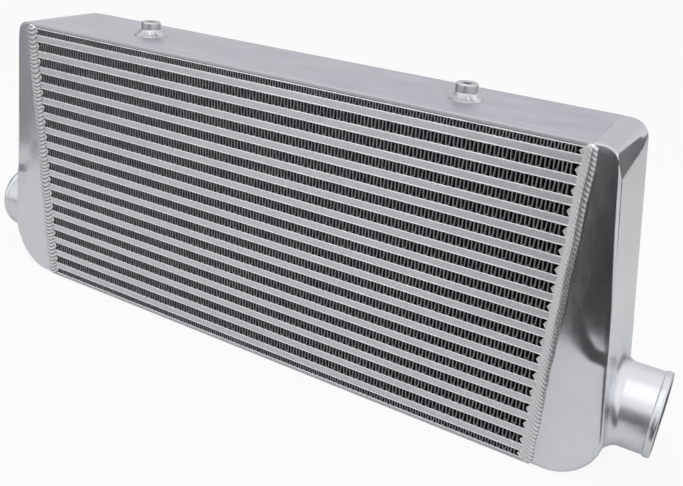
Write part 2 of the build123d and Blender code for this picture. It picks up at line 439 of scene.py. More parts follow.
def side_sheet(inset, face):
    """Grid across one flat face: from the joint line to the outline moved in by the rim's radius,
    then a quarter circle round the rim. face is -1 for the front and 1 for the rear."""
    x, z, nx, nz, _, _ = outline(inset)
    depth, edge = half_depth - inset, rim_radius(inset, nz)
    back = panel(x, z)
    in_x, in_z = np.maximum(x - edge * nx, joint_x), z - edge * nz
    travel = np.cumsum(np.hypot(np.diff(x, prepend=x[0]), np.diff(z, prepend=z[0])))
    low, high = inset + edge[0], core_height - inset - edge[-1]
    joint_z = 0.85 * in_z + 0.15 * (low + (high - low) * travel / travel[-1])
    flat_x = joint_x + (in_x - joint_x)[:, None] * face_shares
    flat_z = joint_z[:, None] + (in_z - joint_z)[:, None] * face_shares
    flat_y = depth - panel(flat_x, flat_z)
    flat_y = flat_y + (panel(flat_x, flat_z) - back[:, None]) * smooth_step(face_shares, 0.8, 1)
    turn = rim_angles[None, 1:]
    rim_x = in_x[:, None] + (edge * nx)[:, None] * np.sin(turn)
    rim_z = in_z[:, None] + (edge * nz)[:, None] * np.sin(turn)
    rim_y = (depth - back)[:, None] - edge[:, None] * (1 - np.cos(turn))
    return (np.hstack([flat_x, rim_x]), face * np.hstack([flat_y, rim_y]),
            np.hstack([flat_z, rim_z]))


def end_wall(inset, rows):
    """Grid over some rows of the end wall, straight across from rim to rim."""
    x, z, _, nz, _, _ = outline(inset)
    half = half_depth - inset - panel(x, z) - rim_radius(inset, nz)
    level = np.zeros_like(wall_shares)
    return x[rows, None] + level, half[rows, None] * wall_shares, z[rows, None] + level


def neck_wheel(inset, radius, root):
    """Rings round the neck. Spokes run from the edge of the wheel, a rectangle on the end wall,
    straight to the neck's axis. Near the neck x rises by rise_size * (1 - sin t) while the
    distance from the barrel grows by size * (1 - cos t), a quarter ellipse that is long on the
    wall above and below the neck. Rows go outwards."""
    x, z, _, nz, first, last = outline(inset)
    rows = np.arange(first, last + 1)
    half = (half_depth - inset - panel(x, z) - rim_radius(inset, nz))[rows]
    side_z = z[rows]
    across = wall_shares[:-1]
    edge_y = np.concatenate([half[0] * across, half[:-1], -half[-1] * across, -half[:0:-1]])
    edge_z = np.concatenate([np.full_like(across, side_z[0]), side_z[:-1],
                             np.full_like(across, side_z[-1]), side_z[:0:-1]])
    angle = np.arctan2(edge_z - neck_height, edge_y)
    reach = np.hypot(edge_z - neck_height, edge_y)
    size = np.minimum(root * (1 + 1.1 * np.sin(angle) ** 2), reach - radius - 0.3)
    rise_size = np.minimum(size, root * (1 + 0.25 * np.sin(angle) ** 2))
    turn = np.radians(np.linspace(0, 90, 13))[:, None]
    near = radius + size * (1 - np.cos(turn))
    far = near[-1] + (reach - near[-1]) * np.linspace(0, 1, 7)[1:, None]
    distance = np.vstack([near, far])
    rise = np.vstack([rise_size * (1 - np.sin(turn)), np.zeros_like(far)])
    ring_z = neck_height + distance * np.sin(angle)
    ring_y = distance * np.cos(angle)
    ring_x = wall_x(ring_z, inset) + rise
    ring_y[-1], ring_z[-1], ring_x[-1] = edge_y, edge_z, wall_x(edge_z, inset)
    return ring_x, ring_y, ring_z, angle


# %% The neck: its bead and lip as (x, radius), from the barrel round the end into the bore
neck_root, inside_root = 9.3, 0.8
bore_rows = 12
lip_profile = np.array([(393.8, 38.1), (394.1, 38.5), (394.6, 39.1), (395.2, 39.35), (397.0, 39.4),
                        (399.2, 39.35), (400.1, 39.0), (400.6, 38.4), (400.8, 37.6), (400.8, 36.2),
                        (400.6, 35.5), (400.1, 35.1), (399.4, 35.0)])


def neck_tube(outer, inner):
    """Rings of the barrel, the bead, the lip and the bore, between two wheels' first rows. In the
    bore the spokes turn from the outer wheel's angles to the inner wheel's."""
    ox, angle = outer[0], outer[3]
    ix, turn = inner[0][0], (inner[3] - angle + math.pi) % (2 * math.pi) - math.pi
    barrel = ox[0] + (lip_profile[0, 0] - ox[0]) * np.linspace(0, 1, 9)[:-1, None]
    bore = lip_profile[-1, 0] + (ix - lip_profile[-1, 0]) * np.linspace(0, 1, bore_rows)[1:, None]
    x = np.vstack([barrel, lip_profile[:, :1] + 0 * angle, bore])
    radius = np.vstack([np.full_like(barrel, neck_radius), lip_profile[:, 1:] + 0 * angle,
                        np.full_like(bore, bore_radius)])
    last = bore_rows - 1
    share = np.clip(np.arange(len(x)) - len(x) + bore_rows, 0, last)[:, None] / last
    spokes = angle + turn * share
    return x, radius * np.cos(spokes), neck_height + radius * np.sin(spokes)


def ring_patch(x, y, z):
    """Patch whose columns close round the neck."""
    points = np.stack([x, y, z], -1)
    return points.reshape(-1, 3), grid_quads(*x.shape, wrap=True)


def edge_points(grid, place):
    """One row or column of a grid (x, y, z) as points."""
    return np.stack([axis[place] for axis in grid], -1)


# %% Two tanks from one skin
def tank_skin():
    """All patches of the right tank: outside, inside, neck and the rim at the joint."""
    patches, loops, wheels = [], [], []
    for inset, radius, root in ((0.0, neck_radius, neck_root), (tank_wall, bore_radius, inside_root)):
        first, last = outline(inset)[4:]
        sides = [side_sheet(inset, face) for face in (-1, 1)]
        low = end_wall(inset, slice(0, first + 1))
        high = end_wall(inset, slice(last, None))
        wheel = neck_wheel(inset, radius, root)
        wheels.append(wheel)
        patches += [sheet_patch(*grid) for grid in (*sides, low, high)]
        patches.append(ring_patch(*wheel[:3]))
        columns = [edge_points(side, np.s_[:, 0]) for side in sides]
        ends = []
        for row, wall in ((0, low), (-1, high)):
            front, middle, rear = (edge_points(grid, row) for grid in (sides[0], wall, sides[1]))
            ends.append(np.concatenate([front, middle[1:-1], rear[::-1]]))
        loops.append(columns + ends)
    patches.append(ring_patch(*neck_tube(*wheels)))
    for outer, inner in zip(*loops):
        rim = np.stack([outer, inner])
        patches.append((rim.reshape(-1, 3), grid_quads(2, len(outer))))
    return join_patches(patches)


swell_depth = 0.045
corner_low, corner_rise, corner_lean, corner_soft = 279.0, 0.11, math.radians(19), 0.35


def hand_finish(points, seed):
    """Slow swells of about a tenth of a millimetre, a sum of waves, none of them at the joint."""
    rng = np.random.default_rng(seed)
    swell = np.zeros_like(points)
    for _ in range(7):
        wave = rng.normal(0, 1, 3)
        wave *= 2 * np.pi / rng.uniform(45, 110) / np.linalg.norm(wave)
        swell += rng.normal(0, 1, 3) * np.sin(points @ wave + rng.uniform(0, 2 * np.pi))[:, None]
    return points + swell_depth * swell * smooth_step(points[:, 0], joint_x + 2, joint_x + 14)[:, None]


def ground_corner(points):
    """Flat ground by hand on the top corner at the front. Its lower edge lies on the end wall at
    z = corner_low at the front rim and rises by corner_rise per mm towards the rear; from there it
    leans back by corner_lean. A point beyond this plane is moved onto it along the lean's normal;
    the change is soft over corner_soft and ends before the rear."""
    edge_z = corner_low + corner_rise * (points[:, 1] + 46)
    across, up = math.cos(corner_lean), math.sin(corner_lean)
    beyond = (points[:, 0] - wall_x(edge_z, 0.0)) * across + (points[:, 2] - edge_z) * up
    soft = np.clip(beyond + corner_soft, 0, 2 * corner_soft) ** 2 / (4 * corner_soft)
    move = np.where(beyond > corner_soft, beyond, soft)
    move = move * (points[:, 2] > edge_z - 6) * (1 - smooth_step(points[:, 1], 18, 40))
    return points - move[:, None] * np.array([across, 0, up])


skin_points, skin_quads = tank_skin()
skin_points = ground_corner(skin_points)
for side, sign, seed in (("right", 1, 3), ("left", -1, 4)):
    skin = on_side((hand_finish(skin_points, seed), skin_quads), sign)
    make_piece(f"{side}_cast_tank", skin, "tank_cast", [f"{side}_tank"], merge=True)

# %% [markdown]
# ## Weld beads
# A welder joins the tanks to the core from the outside, drop by drop. Each drop freezes as a
# crescent, so a bead is a row of overlapping crescents. It is a height over a flat strip: a dome
# across, times ripples along. The ripple's phase is bent across the bead, which makes the
# crescents, and wanders a little, which makes them uneven. Both ends shrink to a point.

# %% Beads over the joints
bead_rows, bead_columns = 621, np.linspace(-1, 1, 25)
bead_start, bead_length = 1.0, core_height - 2.0
bead_shift = -0.6             # the bead's middle lies a little on the core's side of the joint
bead_taper, least_height = 5.0, 0.03
buried_depths = np.array([[1.5, 0.4]])                      # in the tank and in the core
dome_power, ripple_power, ripple_middle = 0.55, 0.45, 0.6
# Each wander has its amount and its spacing in mm along the bead. The drops' is in drops.
width_wander, slow_width_wander, path_wander = (0.07, 9), (0.05, 33), (0.6, 24)
ripple_wander, dome_wander, drop_wander = (0.4, 30), (0.14, 21), 0.3
# In each kind, the last two values set its painted shade: its base level and the width of its dark lines
bead_kinds = {
    "left": dict(pitch=4.6, bend=3.6, slant=0.0, depth=1.1, one_sided=0.0, flat_side=0.0,
                 narrow=1.0, painted_shade=0.40, line_width=0.15),
    "right": dict(pitch=4.1, bend=1.8, slant=-4.6, depth=0.38, one_sided=1.0, flat_side=0.8,
                  narrow=0.80, painted_shade=0.27, line_width=0.08)}


def painted_weld_shading(drops, tank_side, painted_shade, line_width):
    """Painted shade everywhere, darkest in the hollow between two drops, with a painted highlight
    along each drop's top.
    """
    from_groove, from_crest = (drops + 0.5) % 1 - 0.5, drops % 1 - 0.55
    painted_shading = np.exp(-((from_groove / line_width) ** 2))
    painted_crest_highlight = np.exp(-((from_crest / (0.08 + 0.7 * line_width)) ** 2))
    return painted_shade + tank_side * ((0.95 - painted_shade) * painted_shading - painted_shade * painted_crest_highlight)


def weld_bead(side, face, seed, pitch, bend, slant, depth, one_sided, flat_side, narrow, painted_shade,
              line_width):
    """Height = rise * (1 - u^2)^dome_power * swell + depth * (|sin(pi p)|^ripple_power -
    ripple_middle) * fade, with p = (z - bend * u^2 - slant * u) / pitch + wander. u runs across
    the bead from -1, on the core, to 1, on the tank. one_sided keeps the ripples to the tank's
    side, and flat_side lowers the core's side. Also returns painted shading for each point, from 0
    to 1: painted shade, darkest in the hollows between drops and along the tank's edge, and
    painted highlights on the drops' crests."""
    rng = np.random.default_rng(seed)
    z, u = np.linspace(0, bead_length, bead_rows), bead_columns[None, :]

    def along(amount, spacing):
        return amount * wander(z, spacing, rng)[:, None]

    from_end = np.clip(np.minimum(z, bead_length - z) / bead_taper, 0, 1)
    ends = np.sqrt(1 - (1 - from_end) ** 2)[:, None]
    half = narrow * weld_half_width * (1 + along(*width_wander) + along(*slow_width_wander))
    x = joint_x + bead_shift + along(*path_wander) + half * ends * u
    drops = z[:, None] / pitch + along(drop_wander, 4 * pitch) - (bend * u**2 + slant * u) / pitch
    tank_side = 1 - one_sided * (1 - smooth_step(u, -0.55, 0.15))
    ripple = depth * (np.abs(np.sin(np.pi * drops)) ** ripple_power - ripple_middle)
    ripple = ripple * (0.8 + along(*ripple_wander)) * (1 - u**4) * tank_side
    dome = weld_rise * (1 - u**2) ** dome_power * (1 + along(*dome_wander))
    dome = dome * (1 - flat_side * (1 - smooth_step(u, -1.0, 0.3)))
    height = ends * np.maximum(dome + ripple, least_height)
    buried = half_depth - buried_depths * ends
    around_x = np.hstack([x, x[:, -1:], x[:, :1]])
    around_y = np.hstack([half_depth + height, buried])
    around_z = np.broadcast_to(z[:, None] + bead_start, around_x.shape)
    points = np.stack([side * around_x, face * around_y, around_z], -1)
    # Painted shading: painted shade in the hollows, painted highlights on the crests, and a painted
    # shadow along the bead's edge on the tank
    painted_bead_shading = painted_weld_shading(drops, tank_side, painted_shade, line_width) * ends + 0.3 * smooth_step(u, 0.84, 0.97)
    patch = points.reshape(-1, 3), grid_quads(*around_x.shape, wrap=True)
    return patch, np.pad(np.clip(painted_bead_shading, 0, 1), ((0, 0), (0, 2)))


bead_seed = 60
for side, sign in side_signs.items():
    for face_name, face in (("front", -1), ("rear", 1)):
        patch, painted_bead_shading = weld_bead(sign, face, bead_seed, **bead_kinds[side])
        make_piece(f"{side}_{face_name}_weld_bead", patch, "weld_bead",
                   [f"{side}_{face_name}_weld"], merge=True, sharp=70, painted=("painted_shading", painted_bead_shading))
        bead_seed += 1

# %% [markdown]
# ## Bosses
# Two turned bosses with an M8 thread are welded to the top plate. They are profiles spun round
# their own axis. Inside, the radius also follows a helix, so the hole has a real thread. The
# weld round the foot is a lumpy, rippled ring with a rolled toe that climbs half way up the boss.
# It rises steeply at the boss, and its ripples are strongest on one side, where the torch ended.

# %% Bosses and their welds
spokes = 64
boss_angles = np.linspace(0, 2 * np.pi, spokes + 1)[:-1]
boss_outside = np.array([(0, 0), (10, 0), (10, 4), (10.0, 8), (10.0, 12.6), (9.93, 12.9),
                         (9.1, 13.78), (8.9, 13.93), (8.5, 14.0), (6.4, 14.0), (5.2, 14.0),
                         (5.0, 13.93), (3.45, 12.4)])
thread_pitch, thread_core, thread_slope, thread_blunt = 1.25, 3.4, 0.6, 0.42
thread_top, thread_end, hole_floor = 13.0, 2.0, 1.6
weld_inside, weld_crown, toe_rise = 9.7, 6.8, 1.9
ring_ripples, ripple_rise, far_ripple = 9, 0.5, 0.15
last_drop = 5.9               # angle where the torch ended, in radians
# The third of these amounts varies the fillets' painted shade; the next line sets painted shade over the
# ring and in the ripples' hollows, and the painted highlight on the crown
reach_lumps, height_lumps, painted_shade_lumps = 0.06, 0.13, 0.22
painted_ring_shade, painted_ripple_shade, painted_crown_highlight = 0.56, 0.6, 0.5


def spun(radius, height, x_centre):
    """Rows of (radius, height) spun round a vertical axis on the top plate."""
    x = x_centre + radius * np.cos(boss_angles)
    y = radius * np.sin(boss_angles)
    return ring_patch(x, y, core_height + height + 0 * x)


def threaded_boss(x_centre):
    """Outside profile, then a helix down the hole: radius = core + slope * min(|saw - 0.5|, blunt),
    where saw is the fraction of height / pitch - angle / (2 pi)."""
    height = np.linspace(thread_top, thread_end, 93)[1:, None]
    saw = (height / thread_pitch - boss_angles / (2 * np.pi)) % 1
    thread = thread_core + thread_slope * np.minimum(np.abs(saw - 0.5), thread_blunt)
    closing_radius = np.array([[2.6], [0.0]])
    radius = np.vstack([boss_outside[:, :1] + 0 * saw[:1], thread, closing_radius + 0 * saw[:1]])
    rows = np.concatenate([boss_outside[:, 1], height[:, 0], [thread_end, hole_floor]])[:, None]
    return spun(radius, rows, x_centre)


def boss_fillet(x_centre, toe, seed):
    """From toe to crown a rolled toe, a hollow and a steep rise up the boss, times lumps round
    the axis, with radial ripples near last_drop; closed by a flat underside. Also returns painted
    shading for each point, from 0 to 1: painted shade over the ring and in the ripples' hollows,
    with less of it on the crown as a painted highlight."""
    rng = np.random.default_rng(seed)
    share = np.linspace(0, 1, 25)[:, None] ** 1.3
    lumps = sum(rng.uniform(0.2, 1) * np.sin(k * boss_angles + rng.uniform(0, 6.28))
                for k in range(2, 9)) / 4
    reach = toe * (1 + reach_lumps * lumps)
    radius = reach + (weld_inside - reach) * share
    near_last = smooth_step(np.cos(boss_angles - last_drop), 0.5, 0.95)
    ripple = np.abs(np.sin(ring_ripples * boss_angles + 1.3 * lumps + 1.4 * share)) ** 0.6 - 0.5
    ripple = ripple * (far_ripple + (1 - far_ripple) * near_last)
    crown, rim = weld_crown * share**2.1, toe_rise * (1 - (1 - share) ** 7) * (1 - share) ** 1.1
    across = np.sin(np.pi * share)
    height = (crown + rim) * (1 + height_lumps * lumps) + ripple_rise * ripple * across**0.6
    # Painted shade over the ring and in the ripples' hollows; the crown gets less of it, a painted
    # highlight
    painted_shade = painted_ring_shade + painted_shade_lumps * lumps - painted_ripple_shade * ripple * across
    painted_shade = painted_shade - painted_crown_highlight * share**8
    radius = np.vstack([radius, np.full((2, spokes), weld_inside), reach[None, :]])
    height = np.vstack([height, np.full((2, spokes), [[2.0], [0.0]]), np.zeros((1, spokes))])
    return spun(radius, np.maximum(height, 0), x_centre), np.pad(np.clip(painted_shade, 0, 1), ((0, 3), (0, 0)))


for side, toe, seed in (("left", 17.4, 81), ("right", 15.8, 82)):
    centre = side_signs[side] * boss_x
    make_piece(f"{side}_threaded_boss", threaded_boss(centre), "boss_turned",
               [f"{side}_boss"], merge=True, sharp=30)
    ring, painted_shade = boss_fillet(centre, toe, seed)
    make_piece(f"{side}_boss_fillet", ring, "weld_bead", [f"{side}_boss_weld"], merge=True, sharp=60,
               painted=("painted_shading", painted_shade))

# %% [markdown]
# ## Finishes
# All of it is bare aluminium, and only the surface differs: polished castings, satin sheet,
# grained bars, bright weld metal, turned bosses. What they share, streaks left by rubbing, slow
# clouds, scratches and pits, is built once as node groups that work in millimetres on Object
# coordinates. Each material gives the groups its own values and keeps its own shader.

# %% Node helpers
def link(tree, source, target):
    tree.links.new(source, target)


def node(tree, kind, inputs=(), **settings):
    """New node with its settings; inputs are (name or number, value or socket)."""
    new_node = tree.nodes.new(kind)
    for key, value in settings.items():
        setattr(new_node, key, value)
    for name, value in inputs:
        socket = new_node.inputs[name]
        if isinstance(value, bpy.types.NodeSocket):
            link(tree, value, socket)
        else:
            socket.default_value = value
    return new_node


def figure(tree, operation, *values):
    """Result of a Math node on numbers or sockets."""
    return node(tree, "ShaderNodeMath", enumerate(values), operation=operation).outputs[0]


def vector(tree, operation, *values):
    """Result of a Vector Math node on vectors or sockets."""
    return node(tree, "ShaderNodeVectorMath", enumerate(values), operation=operation).outputs[0]


def ramp(tree, value, start, end, **settings):
    """Mask that is 0 where the value is at its start and 1 where it is at its end."""
    inputs = [("Value", value), ("From Min", start), ("From Max", end)]
    return node(tree, "ShaderNodeMapRange", inputs, **settings).outputs[0]


def noise(tree, where, scale, detail, roughness=0.5):
    """Outputs of a Noise texture: its number is the first, its colour the second."""
    inputs = [("Vector", where), ("Scale", scale), ("Detail", detail), ("Roughness", roughness)]
    return node(tree, "ShaderNodeTexNoise", inputs).outputs


def start_mask(name, more_inputs=()):
    """Node group that makes a mask from Object coordinates, Place, and the size of its marks in
    millimetres. Returns the group, its inputs, the place counted in marks and the mask's socket."""
    group = bpy.data.node_groups.new(name, "ShaderNodeTree")
    group.interface.new_socket("Place", in_out="INPUT", socket_type="NodeSocketVector")
    size = group.interface.new_socket("Mark size mm", in_out="INPUT", socket_type="NodeSocketVector")
    size.default_value = (1, 1, 1)
    for label, value in more_inputs:
        socket = group.interface.new_socket(label, in_out="INPUT", socket_type="NodeSocketFloat")
        socket.default_value = value
    group.interface.new_socket("Mask", in_out="OUTPUT", socket_type="NodeSocketFloat")
    given = group.nodes.new("NodeGroupInput").outputs
    in_mm = vector(group, "MULTIPLY", given["Place"], (1 / MM, 1 / MM, 1 / MM))
    where = vector(group, "DIVIDE", in_mm, given["Mark size mm"])
    return group, given, where, group.nodes.new("NodeGroupOutput").inputs["Mask"]


# %% Group: rubbed streaks
streaks, given, where, mask = start_mask("Rubbed streaks")
link(streaks, ramp(streaks, noise(streaks, where, 1.0, 3.0, 0.6)[0], 0.3, 0.7), mask)

# %% Group: fine scratches, only where the noise passes a threshold
scratches, given, where, mask = start_mask("Fine scratches", [("Amount", 0.3)])
bent_where = vector(scratches, "ADD", noise(scratches, where, 0.15, 1.0)["Color"], where)
threshold = figure(scratches, "SUBTRACT", 0.78, given["Amount"])
full = figure(scratches, "ADD", threshold, 0.06)
link(scratches, ramp(scratches, noise(scratches, bent_where, 1.0, 1.5)[0], threshold, full), mask)

# %% Group: pits and specks, small dots at some of the cells of a Voronoi pattern
pits, given, where, mask = start_mask("Pits and specks", [("Radius", 0.12)])
cells = node(pits, "ShaderNodeTexVoronoi", [("Vector", where), ("Scale", 1.0)]).outputs
dot = ramp(pits, cells["Distance"], given["Radius"], 0.0)
chance = node(pits, "ShaderNodeSeparateColor", [("Color", cells["Color"])]).outputs[0]
link(pits, figure(pits, "MULTIPLY", dot, figure(pits, "GREATER_THAN", chance, 0.72)), mask)

# %% Group: the ground seam, a thin wavering and broken line near the joint of plate and tank
ground_seam, given, where, mask = start_mask("Ground seam")
seam_x, seam_waver = joint_x - 1.5, -3.0
x_of_place = node(ground_seam, "ShaderNodeSeparateXYZ", [(0, where)]).outputs["X"]
away = figure(ground_seam, "SUBTRACT", figure(ground_seam, "ABSOLUTE", x_of_place), seam_x)
waver = noise(ground_seam, where, 0.12, 3.0)[0]
off_line = figure(ground_seam, "ABSOLUTE", figure(ground_seam, "MULTIPLY_ADD", waver, seam_waver, away))
thin = ramp(ground_seam, off_line, 0.55, 0.15)
broken = ramp(ground_seam, noise(ground_seam, where, 0.3, 2.0)[0], 0.45, 0.6)
link(ground_seam, figure(ground_seam, "MULTIPLY", thin, broken), mask)
print("groups:", [group.name for group in bpy.data.node_groups])

# %% [markdown]
# A metal's look is its colour, how rough it is and how its normals wander. Each finish starts
# from one bare recipe: the colour runs between two tones and the roughness between two values,
# both by a mask, and a few marks feed one after another into the normal.

# %% The bare metal recipe
def marks(tree, group, place, size=(1, 1, 1), **values):
    """A placed node group with the size of its marks in millimetres; returns its mask."""
    inputs = [("Place", place), ("Mark size mm", size), *values.items()]
    placed = tree.nodes.new("ShaderNodeGroup")
    placed.node_tree = group
    for name, value in inputs:
        if isinstance(value, bpy.types.NodeSocket):
            link(tree, value, placed.inputs[name])
        else:
            placed.inputs[name].default_value = value
    return placed.outputs["Mask"]


def start_metal(name, metallic=1.0):
    """Material with a metallic Principled BSDF. Returns it, its tree, its Object coordinates and
    their three parts."""
    material = bpy.data.materials.new(name)
    material.use_nodes = True
    tree = material.node_tree
    tree.nodes["Principled BSDF"].inputs["Metallic"].default_value = metallic
    place = node(tree, "ShaderNodeTexCoord").outputs["Object"]
    return material, tree, place, node(tree, "ShaderNodeSeparateXYZ", [(0, place)]).outputs


def tone(tree, mask, low, high):
    """Colour that runs by a mask from one to another; each is a socket or three numbers."""
    low, high = (colour if isinstance(colour, bpy.types.NodeSocket) else (*colour, 1)
                 for colour in (low, high))
    inputs = [("Factor", mask), ("A", low), ("B", high)]
    return node(tree, "ShaderNodeMix", inputs, data_type="RGBA").outputs["Result"]


def between(tree, mask, low, high):
    """Number between two values by a mask."""
    inputs = [("Value", mask), ("To Min", low), ("To Max", high)]
    return node(tree, "ShaderNodeMapRange", inputs).outputs[0]


def band(tree, value, ends, **settings):
    """Mask across a band whose ends are in millimetres, for a coordinate in metres."""
    return ramp(tree, value, ends[0] * MM, ends[1] * MM, **settings)


def distance(tree, side, up):
    """Length of the vector (side, up)."""
    flat = node(tree, "ShaderNodeCombineXYZ", [("X", side), ("Y", up)]).outputs[0]
    return node(tree, "ShaderNodeVectorMath", [(0, flat)], operation="LENGTH").outputs["Value"]


def finish_metal(material, colour, rough, heights):
    """Gives the shader its colour and roughness. A chain of Bump nodes, one for each (mask,
    height in mm, strength), makes its normal."""
    tree, normal = material.node_tree, None
    for mask, height, strength in heights:
        inputs = [("Height", mask), ("Distance", height * MM), ("Strength", strength)]
        bump = node(tree, "ShaderNodeBump", inputs + ([("Normal", normal)] if normal else []))
        normal = bump.outputs[0]
    shader = tree.nodes["Principled BSDF"]
    for name, socket in (("Base Color", colour), ("Roughness", rough), ("Normal", normal)):
        link(tree, socket, shader.inputs[name])
    return material


# %% Polished castings, with the places of their bands in millimetres
ground_band = (296.0, 303.5)        # height
near_weld_band = (336.0, 308.0)     # distance from the middle of the core, as in the next two
neck_band = (346.0, 358.0)
# Where the bore gets painted shade: beyond this distance from the middle of the core, and within the
# next distance of the neck's axis
bore_shade_start = 340.0
bore_shade_band = (35.6, 35.1)            # distance from the neck's axis
seam_grey = (0.36, 0.37, 0.40)


def cast_finish():
    """Polished by hand: bright, softly blurred, rubbed mostly up and down, with a few scratches.
    It is duller near the weld and on the neck. The top is ground flush with the plate and stays
    satin. The bore is rough as cast, and painted shade makes it a dark grey."""
    material, tree, place, at = start_metal("polished casting")
    rub = marks(tree, streaks, place, (1.6, 1.6, 14.0))
    cloud = marks(tree, streaks, place, (38.0, 38.0, 60.0))
    fine = marks(tree, scratches, place, (0.5, 0.5, 22.0), Amount=0.10)
    seam = marks(tree, ground_seam, place)
    out = figure(tree, "ABSOLUTE", at["X"])
    ground = band(tree, at["Z"], ground_band, interpolation_type="SMOOTHSTEP")
    near_weld = band(tree, out, near_weld_band, interpolation_type="SMOOTHSTEP")
    on_neck = band(tree, out, neck_band)
    above_axis = figure(tree, "SUBTRACT", at["Z"], neck_height * MM)
    in_bore = band(tree, distance(tree, at["Y"], above_axis), bore_shade_band)
    bore = figure(tree, "MULTIPLY", in_bore, figure(tree, "GREATER_THAN", out, bore_shade_start * MM))
    colour = tone(tree, cloud, (0.68, 0.695, 0.725), (0.76, 0.775, 0.80))
    # The ground top and the seam are real greys; the bore's dark grey is painted shade
    for mask, grey in ((ground, (0.56, 0.57, 0.60)), (seam, seam_grey), (bore, (0.16, 0.16, 0.17))):
        colour = tone(tree, mask, colour, grey)
    rough = figure(tree, "MULTIPLY", figure(tree, "ADD", cloud, rub), 0.5)
    rough = between(tree, rough, 0.12, 0.20)
    for mask, more in ((near_weld, 0.05), (on_neck, 0.13), (ground, 0.14), (bore, 0.35)):
        rough = figure(tree, "MULTIPLY_ADD", mask, more, rough)
    heights = [(cloud, 0.3, 0.2), (rub, 0.008, 0.3), (fine, 0.015, 0.4), (seam, 0.1, 0.5)]
    return finish_metal(material, colour, rough, heights)


# %% Satin plates
# Band of the front and rear edge faces, which get painted shade and more roughness
sawn_shade_band = (48.4, 49.8)            # distance from the middle of the core's depth


def plate_finish():
    """Rolled sheet, satin after the furnace: faint long scratches, specks and cloudy stains. Its
    saw-cut front and rear edges are rougher, and painted shade gives them an even grey."""
    material, tree, place, at = start_metal("satin plate")
    cloud = marks(tree, streaks, place, (60.0, 22.0, 22.0))
    rub = marks(tree, streaks, place, (9.0, 0.5, 0.5))
    fine = marks(tree, scratches, place, (40.0, 0.7, 0.7), Amount=0.13)
    speck = marks(tree, pits, place, (7.0, 7.0, 7.0), Radius=0.10)
    seam = marks(tree, ground_seam, place)
    sawn_and_shaded = band(tree, figure(tree, "ABSOLUTE", at["Y"]), sawn_shade_band)
    colour = tone(tree, cloud, (0.455, 0.465, 0.505), (0.545, 0.555, 0.595))
    # The edge faces' grey is painted shade; the scratches, specks and seam are real marks
    for mask, grey in ((fine, (0.62, 0.63, 0.66)), (sawn_and_shaded, (0.55, 0.56, 0.59)),
                       (speck, (0.28, 0.28, 0.30)), (seam, seam_grey)):
        colour = tone(tree, mask, colour, grey)
    rough = figure(tree, "MULTIPLY_ADD", sawn_and_shaded, 0.26, between(tree, cloud, 0.34, 0.44))
    heights = [(rub, 0.02, 0.4), (fine, 0.04, 0.5), (speck, 0.05, 0.6), (seam, 0.1, 0.5)]
    return finish_metal(material, colour, rough, heights)


# %% Grained bars and bright sheet edges
def bar_finish():
    """Extruded bar, etched in the furnace: even grey with a fine grain and faint lines along X."""
    material, tree, place, _ = start_metal("grained bar")
    grain = marks(tree, streaks, place, (0.9, 0.9, 0.9))
    drawn = marks(tree, streaks, place, (30.0, 0.8, 0.8))
    speck = marks(tree, pits, place, (5.0, 5.0, 5.0), Radius=0.09)
    colour = tone(tree, grain, (0.57, 0.57, 0.595), (0.76, 0.76, 0.785))
    colour = tone(tree, speck, colour, (0.28, 0.28, 0.30))
    rough = between(tree, drawn, 0.42, 0.55)
    return finish_metal(material, colour, rough, [(drawn, 0.03, 0.35), (grain, 0.05, 0.5)])


def edge_finish():
    """Smooth braze over the sheet edges, the brightest metal of the core."""
    material, tree, place, _ = start_metal("bright sheet edge")
    lumps = marks(tree, streaks, place, (3.0, 1.0, 1.0))
    colour = tone(tree, lumps, (0.86, 0.86, 0.87), (0.98, 0.98, 0.985))
    return finish_metal(material, colour, between(tree, lumps, 0.20, 0.34), [(lumps, 0.12, 0.6)])


# %% Strips: painted light near the openings, painted shade deeper in
# Depth over which painted shade darkens the strips from the openings inwards
fin_light_depth = 8.5


def strip_finish():
    """Etched strip. |y| of the Object coordinates tells how near the open front or rear it is:
    painted shade darkens the walls over fin_light_depth from the opening inwards, and the grey
    near the opening is painted light. The etched skin scatters light, so the strip is less metallic
    than the rest."""
    material, tree, place, at = start_metal("folded strip", metallic=0.45)
    open_band = (fin_front - fin_light_depth, fin_front)
    painted_light_near_opening = band(tree, figure(tree, "ABSOLUTE", at["Y"]), open_band)
    blotch = marks(tree, streaks, place, (14.0, 6.0, 6.0))
    # Painted light near the opening, a blotchy grey; painted shade, near black, deeper in
    light = tone(tree, blotch, (0.19, 0.195, 0.21), (0.31, 0.315, 0.33))
    colour = tone(tree, painted_light_near_opening, (0.03, 0.03, 0.033), light)
    return finish_metal(material, colour, between(tree, blotch, 0.40, 0.60), [(blotch, 0.05, 0.3)])


# %% Weld metal and turned bosses
# Painted shade: the threaded hole is near black within this distance of the boss's axis
hole_shade_band = (4.6, 4.2)              # distance from the boss's axis


def weld_finish():
    """Bright, clean weld metal with a skin of fine wrinkles and a few pits. Painted shade, dark grey
    and rougher, lies where the point attribute is near 1; its low values are painted highlights."""
    material, tree, place, _ = start_metal("weld metal")
    wrinkle = marks(tree, streaks, place, (1.1, 1.1, 0.7))
    speck = marks(tree, pits, place, (3.2, 3.2, 3.2), Radius=0.14)
    painted_shading = node(tree, "ShaderNodeAttribute", attribute_name="painted_shading").outputs["Fac"]
    colour = tone(tree, wrinkle, (0.82, 0.825, 0.84), (0.95, 0.955, 0.965))
    # Painted shade: dark grey where the point attribute is near 1
    colour = tone(tree, painted_shading, colour, (0.16, 0.16, 0.175))
    colour = tone(tree, speck, colour, (0.20, 0.20, 0.22))
    rough = figure(tree, "MULTIPLY_ADD", painted_shading, 0.38, between(tree, wrinkle, 0.18, 0.28))
    return finish_metal(material, colour, rough, [(wrinkle, 0.05, 0.4), (speck, 0.3, 0.7)])


